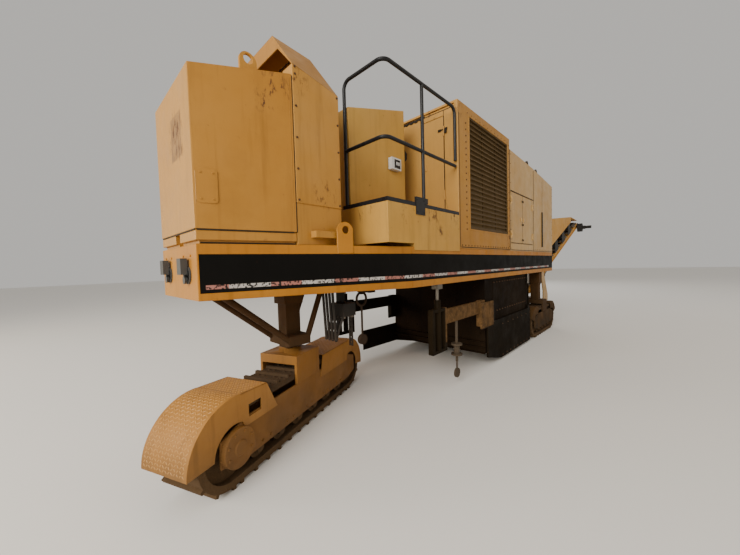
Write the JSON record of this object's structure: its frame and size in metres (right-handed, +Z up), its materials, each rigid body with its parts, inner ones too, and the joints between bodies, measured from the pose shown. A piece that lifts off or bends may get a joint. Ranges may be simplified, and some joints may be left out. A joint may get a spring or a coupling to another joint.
{
  "type": "cold planer milling machine",
  "caption": "Cold planer on three crawler tracks with tapered nose, louvred radiator housing, under-slung cutting drum and long rear discharge conveyor.",
  "frame": {"origin": "on the ground under the centre of the machine's overall box, conveyor included", "axes": "+X towards the tapered nose, +Y to the machine's left, +Z up"},
  "size_m": [14.874, 1.944, 3.87],
  "materials": {
    "yellow_paint": "satin, sun-faded",
    "dusty_paint": "dull, dusty",
    "black_paint": "satin",
    "brown_grille": "dull",
    "dark_core": "dull",
    "rusty_steel": "rusty",
    "worn_steel": "worn",
    "track_steel": "earthy",
    "chrome_rod": "polished",
    "lamp": "clear",
    "belt_rubber": "dull"
  },
  "bodies": {
    "chassis": {"main_frame": "yellow_paint", "nose_cabinet": "yellow_paint", "cooler_housing": "yellow_paint", "air_scoop": "yellow_paint", "operator_platform": "yellow_paint", "hand_rails": "black_paint", "platform_housing": "yellow_paint", "control_console": "black_paint", "radiator_housing": "yellow_paint", "louvre_grilles": "brown_grille", "radiator_core": "dark_core", "rear_hood": "yellow_paint", "engine_block": "dark_core", "lifting_lugs": "yellow_paint", "exhaust_stub": "rusty_steel", "work_lamps": "lamp", "drum_housing": "dusty_paint", "plate_lift_gear": "chrome_rod", "hanging_links": "worn_steel", "hydraulic_lines": "black_paint", "nose_leg": "rusty_steel", "rear_legs": "rusty_steel", "rear_track_frames": "dusty_paint", "rear_track_wheels": "dusty_paint", "left_track_loop": "track_steel", "right_track_loop": "track_steel", "rear_fenders": "dusty_paint", "gathering_conveyor": "dusty_paint", "rear_hitch": "yellow_paint"},
    "nose_track": {"nose_yoke": "yellow_paint", "nose_track_frame": "yellow_paint", "nose_track_wheels": "yellow_paint", "nose_track_loop": "track_steel", "nose_fenders": "yellow_paint"},
    "front_door": {"front_door": "yellow_paint"},
    "left_door_front": {"left_door_front": "yellow_paint"},
    "left_door_rear": {"left_door_rear": "yellow_paint"},
    "right_door_front": {"right_door_front": "yellow_paint"},
    "right_door_rear": {"right_door_rear": "yellow_paint"},
    "cutting_drum": {"cutting_drum": "worn_steel"},
    "moldboard": {"moldboard": "rusty_steel"},
    "left_side_plate": {"left_side_plate": "dusty_paint", "grade_sensor": "worn_steel"},
    "right_side_plate": {"right_side_plate": "dusty_paint"},
    "swing_base": {"swing_base": "yellow_paint"},
    "conveyor": {"conveyor_frame": "yellow_paint", "conveyor_belt": "belt_rubber", "conveyor_rollers": "worn_steel", "cover_brackets": "black_paint", "conveyor_cover": "yellow_paint", "conveyor_motor": "black_paint"},
    "lift_barrels": {"lift_barrels": "black_paint"},
    "lift_rods": {"lift_rods": "chrome_rod"}
  },
  "joints": [
    {"name": "nose_track_steer", "type": "hinge", "parent": "chassis", "child": "nose_track", "pos_m": [6.05414, 0, 0.8], "axis": [0, 0, 1], "range_deg": [-52, 8]},
    {"name": "front_door_hinge", "type": "hinge", "parent": "chassis", "child": "front_door", "pos_m": [4.00614, 0.748, 3], "axis": [0, 0, 1], "range_deg": [0, 85]},
    {"name": "left_door_front_hinge", "type": "hinge", "parent": "chassis", "child": "left_door_front", "pos_m": [2.01414, 0.96, 2.5], "axis": [0, 0, -1], "range_deg": [0, 110]},
    {"name": "left_door_rear_hinge", "type": "hinge", "parent": "chassis", "child": "left_door_rear", "pos_m": [0.75414, 0.96, 2.5], "axis": [0, 0, 1], "range_deg": [0, 110]},
    {"name": "right_door_front_hinge", "type": "hinge", "parent": "chassis", "child": "right_door_front", "pos_m": [2.01414, -0.96, 2.5], "axis": [0, 0, 1], "range_deg": [0, 110]},
    {"name": "right_door_rear_hinge", "type": "hinge", "parent": "chassis", "child": "right_door_rear", "pos_m": [0.75414, -0.96, 2.5], "axis": [0, 0, -1], "range_deg": [0, 110]},
    {"name": "drum_spin", "type": "hinge", "parent": "chassis", "child": "cutting_drum", "pos_m": [2.32414, 0, 0.556], "axis": [0, 1, 0], "continuous": true},
    {"name": "moldboard_lift", "type": "slide", "parent": "chassis", "child": "moldboard", "axis": [0, 0, 1], "range_m": [0, 0.22]},
    {"name": "left_plate_lift", "type": "slide", "parent": "chassis", "child": "left_side_plate", "axis": [0, 0, 1], "range_m": [0, 0.12]},
    {"name": "right_plate_lift", "type": "slide", "parent": "chassis", "child": "right_side_plate", "axis": [0, 0, 1], "range_m": [0, 0.12]},
    {"name": "conveyor_swing", "type": "hinge", "parent": "chassis", "child": "swing_base", "pos_m": [-1.27586, 0, 0.65], "axis": [0, 0, 1], "range_deg": [-30, 30]},
    {"name": "conveyor_lift", "type": "hinge", "parent": "swing_base", "child": "conveyor", "pos_m": [-1.27586, 0, 1.04], "axis": [0, 1, 0], "range_deg": [-7, 11.5]},
    {"name": "lift_barrel_tilt", "type": "hinge", "parent": "swing_base", "child": "lift_barrels", "pos_m": [-1.45586, 0, 0.756], "axis": [0, 1, 0], "range_deg": [-7.62, 12.2]},
    {"name": "lift_rod_slide", "type": "slide", "parent": "lift_barrels", "child": "lift_rods", "axis": [-0.9099, 0, 0.4147], "range_m": [-0.0457, 0.0719]}
  ],
  "couplings": [
    {"joint": "lift_barrel_tilt", "follows": "conveyor_lift", "ratio": 1.017},
    {"joint": "lift_rod_slide", "follows": "conveyor_lift", "m_per_rad": 0.3331}
  ]
}
